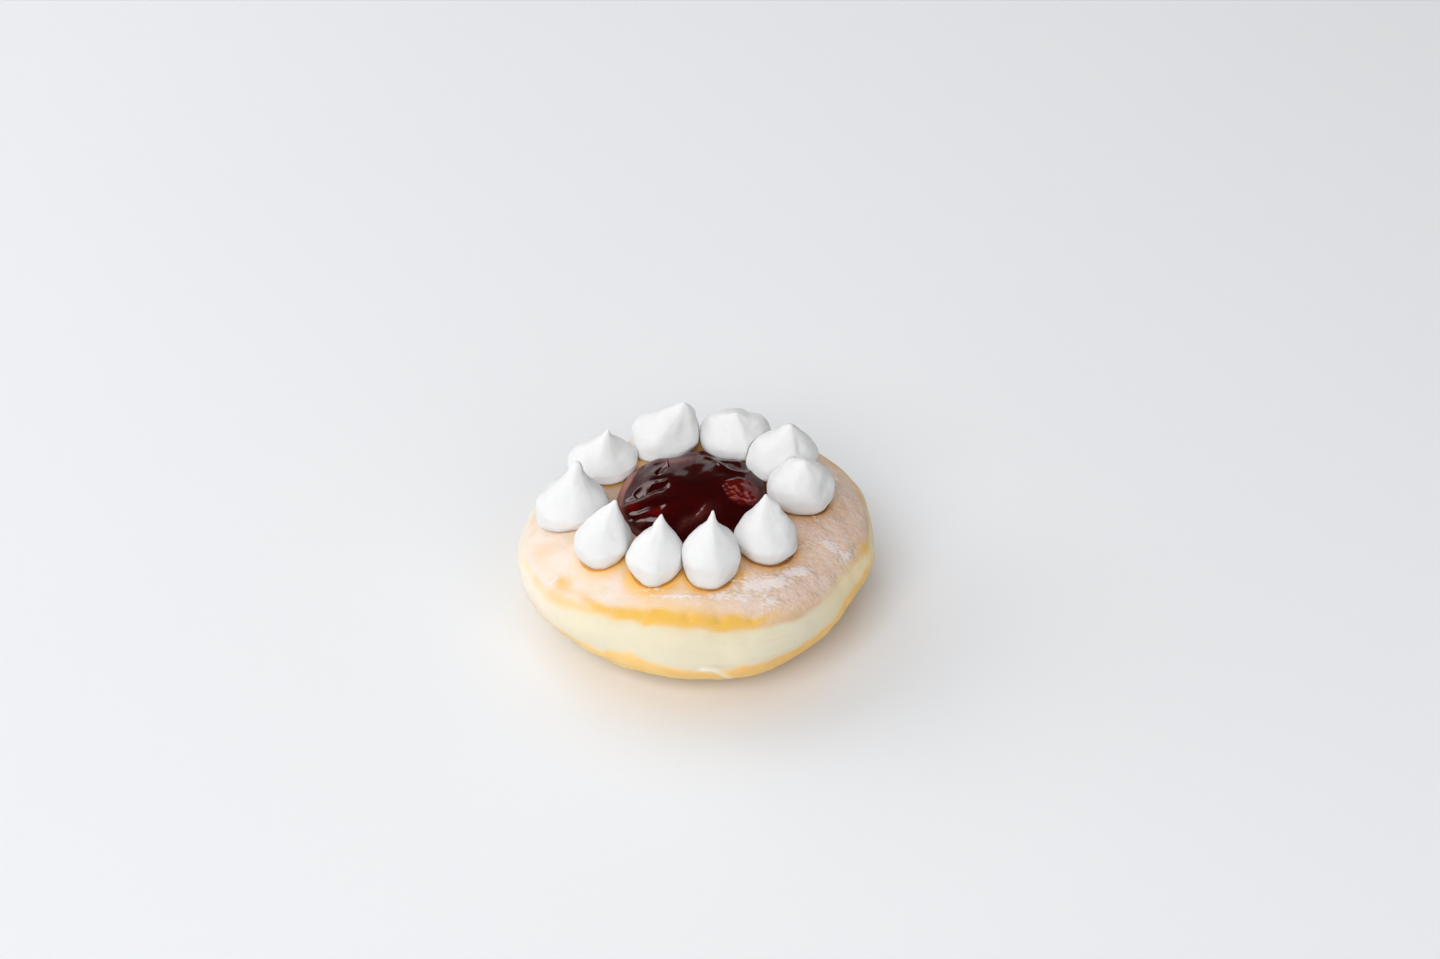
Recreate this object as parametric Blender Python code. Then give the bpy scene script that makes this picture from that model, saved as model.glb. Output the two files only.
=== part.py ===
"""A filled doughnut: a raised dough ring with a pale collar, a jam mound in its
dished top and a ring of ten piped cream dollops. Metres, +Z up. The origin is on
the resting plane, under the middle of the dough's outline."""

import math

import bmesh
import bpy

MM = 0.001

# The gap that touching pieces keep between them.
GAP = 0.3 * MM

# Dough: a flattened ball. The plan is nearly round, with a few broad waves given as
# (waves round the plan, height as a share of the radius, direction of a crest in degrees).
DOUGH_RADIUS = 45.3 * MM
PLAN_WAVES = ((2, 0.026, 26), (3, 0.023, 48), (4, 0.013, 20))
WIDEST_Z = 17.2 * MM
CROWN_Z = 34.5 * MM
TOP_ROUNDNESS = 2.2
BOTTOM_ROUNDNESS = 1.6
FLAT_SHARE = 0.58
DOUGH_SEGMENTS = 60
DOUGH_RINGS = 28

# The top is pressed into a shallow dish round the middle of the decoration.
RING_X, RING_Y = -2.0 * MM, 3.4 * MM
DISH_DEPTH = 4.2 * MM
DISH_RADIUS = 24.0 * MM
DISH_STEEPNESS = 4

# Jam: a low mound that fills the dish out to the cream.
JAM_RADIUS = 20.0 * MM
JAM_SOFTNESS = 0.5 * MM
JAM_CLEAR = 0.2 * MM
JAM_EDGE = 2.6 * MM
JAM_EDGE_ROUNDNESS = 5
JAM_DOME = 3.6 * MM
JAM_SEGMENTS = 44
JAM_RINGS = 20

# Cream dollops: a rounded foot that narrows to a drawn-out tip. Each row has the dollop's
# direction from the ring's centre in degrees and its distance from it in mm, its widest radius
# and its height in mm, the fullness of its shoulder and the sharpness of its taper, and how far
# the tip leans in and to the side in mm.
DOLLOPS = (
    (188, 30.2, 9.1, 15.6, 1.26, 1.60, 2.0, -1.6),
    (144, 28.7, 8.9, 12.2, 1.25, 1.80, 1.8, -1.4),
    (104, 27.3, 9.1, 13.7, 1.27, 1.03, 1.4, -5.2),
    (65, 28.4, 9.3, 11.1, 2.39, 1.85, 1.0, -1.0),
    (32, 28.8, 9.0, 15.0, 1.40, 1.20, -0.4, -3.5),
    (1, 28.7, 8.6, 14.8, 1.85, 0.95, -0.8, -3.2),
    (-45, 28.0, 8.0, 16.4, 1.30, 1.38, 0.9, 0.7),
    (-79, 29.6, 7.3, 18.5, 2.28, 2.80, 0.4, 0.9),
    (-106, 28.6, 7.3, 16.6, 1.62, 1.83, 1.7, 1.2),
    (-136, 29.7, 7.1, 16.5, 1.25, 1.15, 3.1, 1.8),
)
DOLLOP_WIDEST_SHARE = 0.27
DOLLOP_FOOT_SHARE = 0.72
DOLLOP_FOOT_ROUNDNESS = 2.2
DOLLOP_TIP_RADIUS = 0.6 * MM
DOLLOP_TIP_BLUNTNESS = 12
DOLLOP_LEAN_POWER = 1.5
LEAN_AT_JAM = 0.1
DOLLOP_SETTLE = 5.0 * MM
DOLLOP_SEGMENTS = 26
DOLLOP_RINGS = 18
DOLLOP_FOOT_RINGS = 2
PRESS_SOFTNESS = 0.15 * MM
PRESS_CLEAR = 0.2 * MM

# Name, colour, roughness and metallic value of each finish.
DOUGH_FINISH = ("fried_dough", (0.72, 0.42, 0.20), 0.5, 0.0)
JAM_FINISH = ("red_jam", (0.10, 0.004, 0.006), 0.08, 0.0)
CREAM_FINISH = ("whipped_cream", (0.86, 0.86, 0.85), 0.55, 0.0)


def clear_scene():
    for obj in list(bpy.data.objects):
        bpy.data.objects.remove(obj, do_unlink=True)


def finish(name, colour, roughness, metallic):
    """A Principled material with one plain colour."""
    material = bpy.data.materials.new(name)
    material.use_nodes = True
    shader = material.node_tree.nodes["Principled BSDF"]
    shader.inputs["Base Color"].default_value = (*colour, 1.0)
    shader.inputs["Roughness"].default_value = roughness
    shader.inputs["Metallic"].default_value = metallic
    return material


def plan_radius(angle):
    """The dough's widest radius in a direction from its own middle."""
    waves = sum(h * math.cos(n * (angle - math.radians(crest))) for n, h, crest in PLAN_WAVES)
    return DOUGH_RADIUS * (1 + waves)


def outline_middle():
    """The middle of the plan's bounding rectangle, seen from the dough's own middle."""
    angles = [math.radians(a) for a in range(360)]
    xs = [plan_radius(a) * math.cos(a) for a in angles]
    ys = [plan_radius(a) * math.sin(a) for a in angles]
    return (max(xs) + min(xs)) / 2, (max(ys) + min(ys)) / 2


MIDDLE_X, MIDDLE_Y = outline_middle()


def dish(x, y):
    """How far the top is pressed down: a flat-floored bell round the ring's centre."""
    share = math.hypot(x - RING_X, y - RING_Y) / DISH_RADIUS
    return DISH_DEPTH * math.exp(-(share**DISH_STEEPNESS))


def dough_top(x, y):
    """The height of the dough's upper surface: a superellipse dome less the dish."""
    dx, dy = x + MIDDLE_X, y + MIDDLE_Y
    share = min(1.0, math.hypot(dx, dy) / plan_radius(math.atan2(dy, dx)))
    dome = (1 - share**TOP_ROUNDNESS) ** (1 / TOP_ROUNDNESS)
    return WIDEST_Z + (CROWN_Z - WIDEST_Z) * dome - dish(x, y)


def shaped_sphere(name, segments, rings, place, material, collection):
    """A UV sphere whose vertices go where place(direction, ring) says, ring 0 at the bottom."""
    bm = bmesh.new()
    bmesh.ops.create_uvsphere(bm, u_segments=segments, v_segments=rings, radius=1.0)
    for vert in bm.verts:
        direction = math.atan2(vert.co.y, vert.co.x)
        polar = math.acos(max(-1.0, min(1.0, -vert.co.z)))
        vert.co = place(direction, round(polar / math.pi * rings))
    bmesh.ops.triangulate(bm, faces=bm.faces[:])
    bmesh.ops.recalc_face_normals(bm, faces=bm.faces[:])
    mesh = bpy.data.meshes.new(name)
    bm.to_mesh(mesh)
    bm.free()
    mesh.shade_smooth()
    mesh.materials.append(material)
    obj = bpy.data.objects.new(name, mesh)
    collection.objects.link(obj)
    return obj


def dough_point(direction, ring):
    """A flat spot, a superellipse flank up to the widest line, then the dished dome."""
    half = DOUGH_RINGS // 2
    reach = plan_radius(direction)
    if ring <= half:
        turn = math.pi / 2 * max(0, ring - 1) / (half - 1)
        swell = math.sin(turn) ** (2 / BOTTOM_ROUNDNESS)
        radius = reach * (FLAT_SHARE + (1 - FLAT_SHARE) * swell) if ring else 0.0
        drop = max(0.0, math.cos(turn)) ** (2 / BOTTOM_ROUNDNESS)
        x = radius * math.cos(direction) - MIDDLE_X
        y = radius * math.sin(direction) - MIDDLE_Y
        return x, y, WIDEST_Z * (1 - drop)
    turn = math.pi / 2 * (ring - half) / (DOUGH_RINGS - half)
    radius = reach * max(0.0, math.cos(turn)) ** (2 / TOP_ROUNDNESS)
    x = radius * math.cos(direction) - MIDDLE_X
    y = radius * math.sin(direction) - MIDDLE_Y
    return x, y, dough_top(x, y)


class Dollop:
    """One piped dollop, worked out from its row of sizes."""

    def __init__(self, degrees, reach, widest, height, shoulder, taper, lean_in, lean_side):
        out = math.radians(degrees)
        self.inward = (-math.cos(out), -math.sin(out))
        self.side = (self.inward[1], -self.inward[0])
        self.x = RING_X + reach * MM * math.cos(out)
        self.y = RING_Y + reach * MM * math.sin(out)
        self.widest = widest * MM
        self.height = height * MM
        self.shoulder = shoulder
        self.taper = taper
        self.lean_in = lean_in * MM
        self.lean_side = lean_side * MM
        self.foot_z = dough_top(self.x, self.y) + GAP
        self.neighbours = []

    def radius(self, height):
        """A superellipse foot up to the widest ring, then a taper that ends in a small blunt tip."""
        up = min(1.0, height / self.height)
        if up < DOLLOP_WIDEST_SHARE:
            below = DOLLOP_FOOT_SHARE * (1 - up / DOLLOP_WIDEST_SHARE)
            return self.widest * (1 - below**DOLLOP_FOOT_ROUNDNESS) ** (1 / DOLLOP_FOOT_ROUNDNESS)
        above = (up - DOLLOP_WIDEST_SHARE) / (1 - DOLLOP_WIDEST_SHARE)
        narrowing = (self.widest - DOLLOP_TIP_RADIUS) * (1 - above**self.shoulder) ** self.taper
        return narrowing + DOLLOP_TIP_RADIUS * math.sqrt(1 - above**DOLLOP_TIP_BLUNTNESS)

    def press(self, x, y):
        """Keeps a point on this dollop's own side of the planes shared with its neighbours."""
        for other in self.neighbours:
            dx, dy = other.x - self.x, other.y - self.y
            apart = math.hypot(dx, dy)
            nx, ny = dx / apart, dy / apart
            limit = (apart + (self.widest**2 - other.widest**2) / apart) / 2 - PRESS_CLEAR
            over = ((x - self.x) * nx + (y - self.y) * ny - limit) / PRESS_SOFTNESS
            back = PRESS_SOFTNESS * (max(0.0, over) + math.log1p(math.exp(-abs(over))))
            x, y = x - back * nx, y - back * ny
        return x, y

    def point(self, direction, ring):
        """A foot that follows the dough, then rings up the leaning axis to the tip."""
        up = max(0.0, (ring - DOLLOP_FOOT_RINGS) / (DOLLOP_RINGS - DOLLOP_FOOT_RINGS))
        height = self.height * up
        radius = self.radius(height) * min(1.0, ring / DOLLOP_FOOT_RINGS)
        lean = up**DOLLOP_LEAN_POWER
        shift_in, shift_side = lean * self.lean_in, lean * self.lean_side
        x = self.x + shift_in * self.inward[0] + shift_side * self.side[0]
        y = self.y + shift_in * self.inward[1] + shift_side * self.side[1]
        x, y = x + radius * math.cos(direction), y + radius * math.sin(direction)
        x, y = self.press(x, y)
        settle = max(0.0, 1 - height / DOLLOP_SETTLE)
        return x, y, self.foot_z + height + settle * (dough_top(x, y) + GAP - self.foot_z)


def dollop_ring():
    dollops = [Dollop(*row) for row in DOLLOPS]
    for index, dollop in enumerate(dollops):
        dollop.neighbours = [dollops[index - 1], dollops[(index + 1) % len(dollops)]]
    return dollops


def jam_reach(direction, dollops):
    """The jam's radius in a direction: a soft minimum of its own and of each dollop's near side."""
    reaches = [JAM_RADIUS]
    for dollop in dollops:
        dx = dollop.x + LEAN_AT_JAM * dollop.lean_in * dollop.inward[0] - RING_X
        dy = dollop.y + LEAN_AT_JAM * dollop.lean_in * dollop.inward[1] - RING_Y
        along = dx * math.cos(direction) + dy * math.sin(direction)
        across = dy * math.cos(direction) - dx * math.sin(direction)
        clear = dollop.widest + JAM_CLEAR
        if along > 0 and abs(across) < clear:
            reaches.append(along - math.sqrt(clear**2 - across**2))
    return -JAM_SOFTNESS * math.log(sum(math.exp(-reach / JAM_SOFTNESS) for reach in reaches))


def jam_point(direction, ring, dollops):
    """An underside that follows the dish, then a rounded edge and a low dome over it."""
    half = JAM_RINGS // 2
    share = math.sin(math.pi / 2 * min(ring, JAM_RINGS - ring) / half)
    radius = jam_reach(direction, dollops) * share
    x = RING_X + radius * math.cos(direction)
    y = RING_Y + radius * math.sin(direction)
    z = dough_top(x, y) + GAP
    if ring > half:
        edge = math.sqrt(max(0.0, 1 - share**JAM_EDGE_ROUNDNESS))
        z += JAM_EDGE * edge + JAM_DOME * (1 - share**2)
    return x, y, z


def build():
    clear_scene()
    collection = bpy.data.collections.new("filled_doughnut")
    bpy.context.scene.collection.children.link(collection)
    dough = finish(*DOUGH_FINISH)
    jam = finish(*JAM_FINISH)
    cream = finish(*CREAM_FINISH)
    dollops = dollop_ring()
    shaped_sphere("doughnut", DOUGH_SEGMENTS, DOUGH_RINGS, dough_point, dough, collection)
    shaped_sphere("jam", JAM_SEGMENTS, JAM_RINGS, lambda a, n: jam_point(a, n, dollops), jam, collection)
    for number, dollop in enumerate(dollops, start=1):
        name = f"cream_dollop_{number:02d}"
        shaped_sphere(name, DOLLOP_SEGMENTS, DOLLOP_RINGS, dollop.point, cream, collection)


build()
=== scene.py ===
"""The looks of the filled doughnut: fried dough with a pale collar and a film of sugar, a mound of
dark red jam in its dished top, and a ring of piped cream dollops. Shapes are worked out in
millimetres in the part's own frame, and become metres where a mesh is made."""

import math

import bpy
import numpy as np
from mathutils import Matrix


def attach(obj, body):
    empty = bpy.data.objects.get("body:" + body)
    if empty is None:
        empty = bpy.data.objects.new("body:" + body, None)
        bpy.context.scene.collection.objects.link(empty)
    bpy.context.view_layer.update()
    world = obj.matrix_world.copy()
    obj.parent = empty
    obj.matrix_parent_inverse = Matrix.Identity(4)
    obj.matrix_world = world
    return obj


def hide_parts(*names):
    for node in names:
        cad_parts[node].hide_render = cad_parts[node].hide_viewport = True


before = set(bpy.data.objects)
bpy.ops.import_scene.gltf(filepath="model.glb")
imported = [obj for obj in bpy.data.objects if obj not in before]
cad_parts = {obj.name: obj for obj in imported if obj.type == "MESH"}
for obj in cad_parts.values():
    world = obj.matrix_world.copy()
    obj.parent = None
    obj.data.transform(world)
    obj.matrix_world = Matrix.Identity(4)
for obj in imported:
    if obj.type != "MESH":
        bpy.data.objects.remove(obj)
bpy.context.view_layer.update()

MM = 0.001
TINY = 1e-12

# Dough: the same flattened ball as the solid. Plan waves are (waves round the plan, height as a
# share of the radius, direction of a crest in degrees).
DOUGH_RADIUS = 45.3
PLAN_WAVES = ((2, 0.026, 26), (3, 0.023, 48), (4, 0.013, 20))
WIDEST_Z = 17.2
CROWN_Z = 34.5
TOP_ROUNDNESS = 2.2
BOTTOM_ROUNDNESS = 1.6
FLAT_SHARE = 0.58
RING_X, RING_Y = -2.0, 3.4
DISH_DEPTH = 4.2
DISH_RADIUS = 24.0
DISH_STEEPNESS = 4

# Jam: a mound that fills the dish out to the cream. Rows of its outline: direction from the ring's
# centre in degrees, radius.
JAM_OUTLINE = (
    (178, 18.6), (160, 18.5), (145, 19.4), (125, 19.8), (108, 20.0), (84, 20.6), (56, 20.8),
    (40, 21.2), (20, 21.2), (3, 20.8), (-30, 20.4), (-60, 19.8), (-90, 19.8), (-120, 20.0), (-150, 19.4),
)
JAM_SOFTNESS = 0.5
JAM_CLEAR = -0.5
JAM_EDGE = 3.0
JAM_EDGE_ROUNDNESS = 5
JAM_DOME = 3.6

# Cream dollops. Rows: direction from the ring's centre in degrees, distance from it, widest radius,
# height, fullness of the shoulder, sharpness of the taper, lean in, lean sideways.
DOLLOPS = (
    (188, 30.2, 9.1, 15.6, 1.26, 1.60, 2.0, -1.6),
    (144, 28.7, 8.9, 12.2, 1.25, 1.80, 1.8, -1.4),
    (104, 27.3, 9.1, 13.7, 1.27, 1.03, 1.4, -5.2),
    (65, 28.4, 9.3, 11.1, 2.39, 1.85, 1.0, -1.0),
    (32, 28.8, 9.0, 15.0, 1.40, 1.20, -0.4, -3.5),
    (1, 28.7, 8.6, 14.8, 1.85, 0.95, -0.8, -3.2),
    (-45, 28.0, 8.0, 16.4, 1.30, 1.38, 0.9, 0.7),
    (-79, 29.6, 7.3, 19.2, 2.28, 2.80, 0.4, 0.9),
    (-106, 28.6, 7.3, 16.6, 1.62, 1.83, 1.7, 1.2),
    (-136, 29.7, 7.1, 16.5, 1.25, 1.15, 3.1, 1.8),
)
WIDEST_SHARE = 0.27
FOOT_SHARE = 0.72
FOOT_ROUNDNESS = 2.2
TIP_RADIUS = 0.6
TIP_BLUNTNESS = 12
LEAN_POWER = 1.5
LEAN_AT_JAM = 0.1
SETTLE = 5.0
PRESS_SOFTNESS = 0.15
PRESS_CLEAR = 0.05
CREAM_SINK = 0.3

# The pale collar's edges. Rows: direction in degrees, height.
COLLAR_TOP = (
    (-160, 22.3), (-145, 20.7), (-129, 23.4), (-112, 25.0), (-91, 25.1), (-65, 24.0), (-44, 23.1),
    (-22, 23.9), (-9, 21.8), (20, 22.5), (60, 24.0), (100, 23.0), (150, 24.0),
)
COLLAR_FOOT = (
    (-160, 14.0), (-145, 14.2), (-123, 15.4), (-114, 17.9), (-94, 15.7), (-82, 13.5), (-78, 13.6),
    (-76, 15.5), (-59, 15.0), (-44, 16.2), (-29, 17.5), (-13, 18.0), (20, 17.0), (60, 15.5),
    (100, 16.5), (150, 14.5),
)
# The golden rim over the collar. Rows: direction, height of its middle, half height, strength.
GOLDEN_RIM = (
    (-165, 25.0, 1.0, 0.05), (-148, 25.4, 1.0, 0.2), (-138, 25.3, 0.6, 0.2), (-129, 25.0, 0.7, 0.6),
    (-118, 25.4, 0.9, 0.9), (-104, 26.3, 0.9, 1.0), (-92, 26.6, 1.2, 1.0), (-80, 26.1, 1.1, 1.0),
    (-70, 25.6, 0.9, 1.0), (-61, 25.3, 0.8, 0.3), (-45, 24.4, 0.8, 0.1), (-20, 23.2, 0.8, 0.1),
    (-9, 22.4, 0.9, 0.5), (5, 22.6, 0.9, 0.1), (40, 25.0, 1.2, 0.8), (75, 26.4, 1.5, 1.0),
    (110, 26.2, 1.1, 0.8), (150, 25.4, 1.0, 0.5),
)
# Where the sugar film starts. Rows: direction, height.
FILM_FOOT = (
    (-175, 22.0), (-150, 22.8), (-137, 24.0), (-122, 25.8), (-112, 27.4), (-103, 28.4), (-90, 28.4),
    (-76, 27.6), (-67, 26.0), (-56, 24.2), (-40, 23.6), (-20, 23.2), (-5, 22.4), (20, 23.6),
    (60, 27.4), (100, 27.8), (140, 26.0), (165, 23.4),
)
# How brown the dough is under the film, from the pale left to the tan right: partly real browning, partly
# painted shade on the side away from the light.
BROWNING_AND_SHADE = (
    (-175, 0.0), (-125, 0.0), (-100, 0.15), (-75, 0.5), (-55, 0.85), (-30, 1.0), (5, 1.0),
    (45, 0.7), (100, 0.2),
)
# How strong the amber round the cream is, partly the crust's colour and partly a painted glow, by direction
# from the ring's centre.
AMBER_AND_GLOW = (
    (-175, 0.1), (-150, 0.2), (-136, 0.5), (-121, 1.0), (-106, 0.8), (-92, 1.1), (-79, 0.8), (-62, 1.1),
    (0, 0.8), (60, 0.8), (120, 0.8), (150, 1.0), (172, 1.0),
)
# How deeply the jam has stained the crust between the dollops, darkest where painted shade stands for the
# shadow in the deep gaps, by direction from the ring's centre.
STAINS_AND_GAP_SHADE = (
    (-170, 0.5), (-120, 0.4), (-60, 0.6), (20, 0.7), (60, 0.8), (84, 1.0), (104, 0.5), (124, 0.1),
    (165, 0.4),
)
# How far the collar turns golden, and how far it fades to a paler peach, which is painted light on the
# left, where the light falls.
GOLDEN_COLLAR = ((-150, 0.0), (-46, 0.0), (-32, 0.8), (-12, 1.0), (15, 0.9), (45, 0.2), (80, 0.0))
LIT_PEACH_COLLAR = (
    (-180, 0.9), (-158, 1.0), (-148, 0.8), (-138, 0.3), (-128, 0.0), (100, 0.0), (140, 0.3), (165, 0.8),
)


def plan_radius(angle):
    """The dough's widest radius: the mean radius with each wave's cosine added."""
    waves = sum(h * np.cos(n * (angle - math.radians(crest))) for n, h, crest in PLAN_WAVES)
    return DOUGH_RADIUS * (1 + waves)


def outline_middle():
    """The middle of the plan's bounding rectangle, seen from the dough's own middle."""
    angles = np.radians(np.arange(360))
    xs = plan_radius(angles) * np.cos(angles)
    ys = plan_radius(angles) * np.sin(angles)
    return (xs.max() + xs.min()) / 2, (ys.max() + ys.min()) / 2


MIDDLE_X, MIDDLE_Y = outline_middle()


def dough_top(x, y):
    """The dough's upper surface: a superellipse dome, less a flat-floored bell round the ring's centre."""
    dx, dy = x + MIDDLE_X, y + MIDDLE_Y
    share = np.minimum(1.0, np.hypot(dx, dy) / plan_radius(np.arctan2(dy, dx)))
    dome = (1 - share**TOP_ROUNDNESS) ** (1 / TOP_ROUNDNESS)
    pressed = DISH_DEPTH * np.exp(-((np.hypot(x - RING_X, y - RING_Y) / DISH_RADIUS) ** DISH_STEEPNESS))
    return WIDEST_Z + (CROWN_Z - WIDEST_Z) * dome - pressed


def ripple(points, size, seed, waves=28):
    """Smooth unevenness about one high: the sum of plane waves about size long, in seeded directions."""
    draw = np.random.default_rng(seed)
    directions = draw.normal(size=(3, waves))
    directions /= np.linalg.norm(directions, axis=0)
    lengths = size * draw.uniform(0.7, 1.4, waves)
    phases = draw.uniform(0, 2 * math.pi, waves)
    swings = np.cos(points @ (directions * (2 * math.pi / lengths)) + phases)
    return swings.sum(axis=-1) * math.sqrt(2 / waves)


def uneven(points, *rows):
    """A sum of ripples, one for each row of height and length in millimetres and seed."""
    return sum(height * ripple(points, length, seed) for height, length, seed in rows)


def round_values(rows, degrees, blur=4):
    """The rows' values, interpolated by direction and averaged over blur degrees on either side."""
    directions, values = np.array(sorted(rows), float).T
    steps = np.linspace(-blur, blur, 5)
    return np.mean([np.interp(degrees + step, directions, values, period=360) for step in steps], axis=0)


def ease(value, low, high):
    """A smooth step from 0 at low to 1 at high."""
    share = np.clip((value - low) / (high - low), 0, 1)
    return share * share * (3 - 2 * share)


def soft_patches(rows, x, y):
    """The sum of the rows' patches, each an elliptical bell turned on the spot."""
    total = 0.0
    for px, py, length, width, degrees, strength in rows:
        turn = math.radians(degrees)
        along = (x - px) * math.cos(turn) + (y - py) * math.sin(turn)
        across = (y - py) * math.cos(turn) - (x - px) * math.sin(turn)
        total = total + strength * np.exp(-((along / length) ** 2) - (across / width) ** 2)
    return total


def along_path(points, path, samples=24):
    """Distance to a Catmull-Rom curve through the path's points, and how far along it the nearest
    point lies, as a share."""
    path = np.array(path, float)
    ends = np.vstack([2 * path[0] - path[1], path, 2 * path[-1] - path[-2]])
    t = np.linspace(0, 1, samples, endpoint=False)[:, None]
    pieces = []
    for a, b, c, d in zip(ends, ends[1:], ends[2:], ends[3:]):
        bend = (2 * a - 5 * b + 4 * c - d) * t**2 + (3 * b - a - 3 * c + d) * t**3
        pieces.append(0.5 * (2 * b + (c - a) * t + bend))
    line = np.vstack([*pieces, path[-1:]])
    nearest = np.full(points.shape[:-1], np.inf)
    share = np.zeros(points.shape[:-1])
    for step, place in enumerate(line):
        distance = ((points - place) ** 2).sum(axis=-1)
        share = np.where(distance < nearest, step / (len(line) - 1), share)
        nearest = np.minimum(distance, nearest)
    return np.sqrt(nearest), share


def near_point(points, centre, size):
    """A soft spot: 1 at the centre, falling like a bell of that size."""
    return np.exp(-(((points - np.array(centre)) / size) ** 2).sum(axis=-1))


def near_line(points, path, width):
    """A soft line along a path: 1 on it, falling like a bell of that width."""
    return np.exp(-((along_path(points, path)[0] / width) ** 2))


def normals(rings):
    """Outward normals of a grid of rings: the cross product of its two directions."""
    across = np.roll(rings, -1, axis=1) - np.roll(rings, 1, axis=1)
    up = np.gradient(rings, axis=0)
    found = np.cross(across, up)
    length = np.linalg.norm(found, axis=-1, keepdims=True)
    found = found / np.maximum(length, TINY)
    found[0], found[-1] = (0, 0, -1), (0, 0, 1)
    return found


def skin(name, rings, material, fields=None):
    """A closed mesh from rings of points, lowest ring first: quads between rings and a fan at each pole."""
    count, around = rings.shape[:2]
    points = np.vstack([rings[0, :1], rings[1:-1].reshape(-1, 3), rings[-1, :1]]) * MM
    step = np.arange(around)
    turn = (step + 1) % around
    base = 1 + np.arange(count - 3)[:, None] * around
    quads = np.stack([base + step, base + turn, base + around + turn, base + around + step], axis=-1)
    quads = quads.reshape(-1, 4)
    last = 1 + (count - 3) * around
    low = np.stack([1 + turn, 1 + step, np.zeros(around, int)], axis=-1)
    high = np.stack([last + step, last + turn, np.full(around, len(points) - 1)], axis=-1)
    corners = np.concatenate([quads.ravel(), low.ravel(), high.ravel()])
    starts = np.concatenate([np.arange(len(quads)) * 4, quads.size + np.arange(2 * around) * 3])
    mesh = bpy.data.meshes.new(name)
    mesh.vertices.add(len(points))
    mesh.vertices.foreach_set("co", points.astype(np.float32).ravel())
    mesh.loops.add(len(corners))
    mesh.loops.foreach_set("vertex_index", corners.astype(np.int32))
    mesh.polygons.add(len(starts))
    mesh.polygons.foreach_set("loop_start", starts.astype(np.int32))
    mesh.update(calc_edges=True)
    for field, values in (fields or {}).items():
        flat = np.concatenate([values[0, :1], values[1:-1].ravel(), values[-1, :1]])
        attribute = mesh.attributes.new(field, "FLOAT", "POINT")
        attribute.data.foreach_set("value", flat.astype(np.float32))
    mesh.shade_smooth()
    mesh.materials.append(material)
    piece = bpy.data.objects.new(name, mesh)
    bpy.context.scene.collection.objects.link(piece)
    return piece


# Materials


def grain_group():
    """Uneven grain: fractal noise of a given size in metres, stretched from 0 to 1 by a contrast."""
    group = bpy.data.node_groups.new("uneven_grain", "ShaderNodeTree")
    for name, start in (("Size", 0.001), ("Detail", 3.0), ("Contrast", 2.0)):
        group.interface.new_socket(name, in_out="INPUT", socket_type="NodeSocketFloat").default_value = start
    stretching = group.interface.new_socket("Stretch", in_out="INPUT", socket_type="NodeSocketVector")
    stretching.default_value = (1, 1, 1)
    group.interface.new_socket("Grain", in_out="OUTPUT", socket_type="NodeSocketFloat")
    nodes, links = group.nodes, group.links
    middle = 0.5                          # of the noise, which the contrast keeps in place
    inputs, outputs = nodes.new("NodeGroupInput"), nodes.new("NodeGroupOutput")
    place = nodes.new("ShaderNodeTexCoord")
    stretch = nodes.new("ShaderNodeVectorMath")
    stretch.operation = "MULTIPLY"
    inverse = nodes.new("ShaderNodeMath")
    inverse.operation = "DIVIDE"
    inverse.inputs[0].default_value = 1.0
    noise = nodes.new("ShaderNodeTexNoise")
    noise.inputs["Roughness"].default_value = 0.55
    centre = nodes.new("ShaderNodeMath")
    centre.operation = "SUBTRACT"
    centre.inputs[1].default_value = middle
    spread = nodes.new("ShaderNodeMath")
    spread.operation = "MULTIPLY_ADD"
    spread.use_clamp = True
    spread.inputs[2].default_value = middle
    links.new(place.outputs["Object"], stretch.inputs[0])
    links.new(inputs.outputs["Stretch"], stretch.inputs[1])
    links.new(stretch.outputs["Vector"], noise.inputs["Vector"])
    links.new(inputs.outputs["Size"], inverse.inputs[1])
    links.new(inverse.outputs[0], noise.inputs["Scale"])
    links.new(inputs.outputs["Detail"], noise.inputs["Detail"])
    links.new(noise.outputs["Fac"], centre.inputs[0])
    links.new(centre.outputs[0], spread.inputs[0])
    links.new(inputs.outputs["Contrast"], spread.inputs[1])
    links.new(spread.outputs[0], outputs.inputs["Grain"])
    return group


GRAIN = grain_group()


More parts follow.
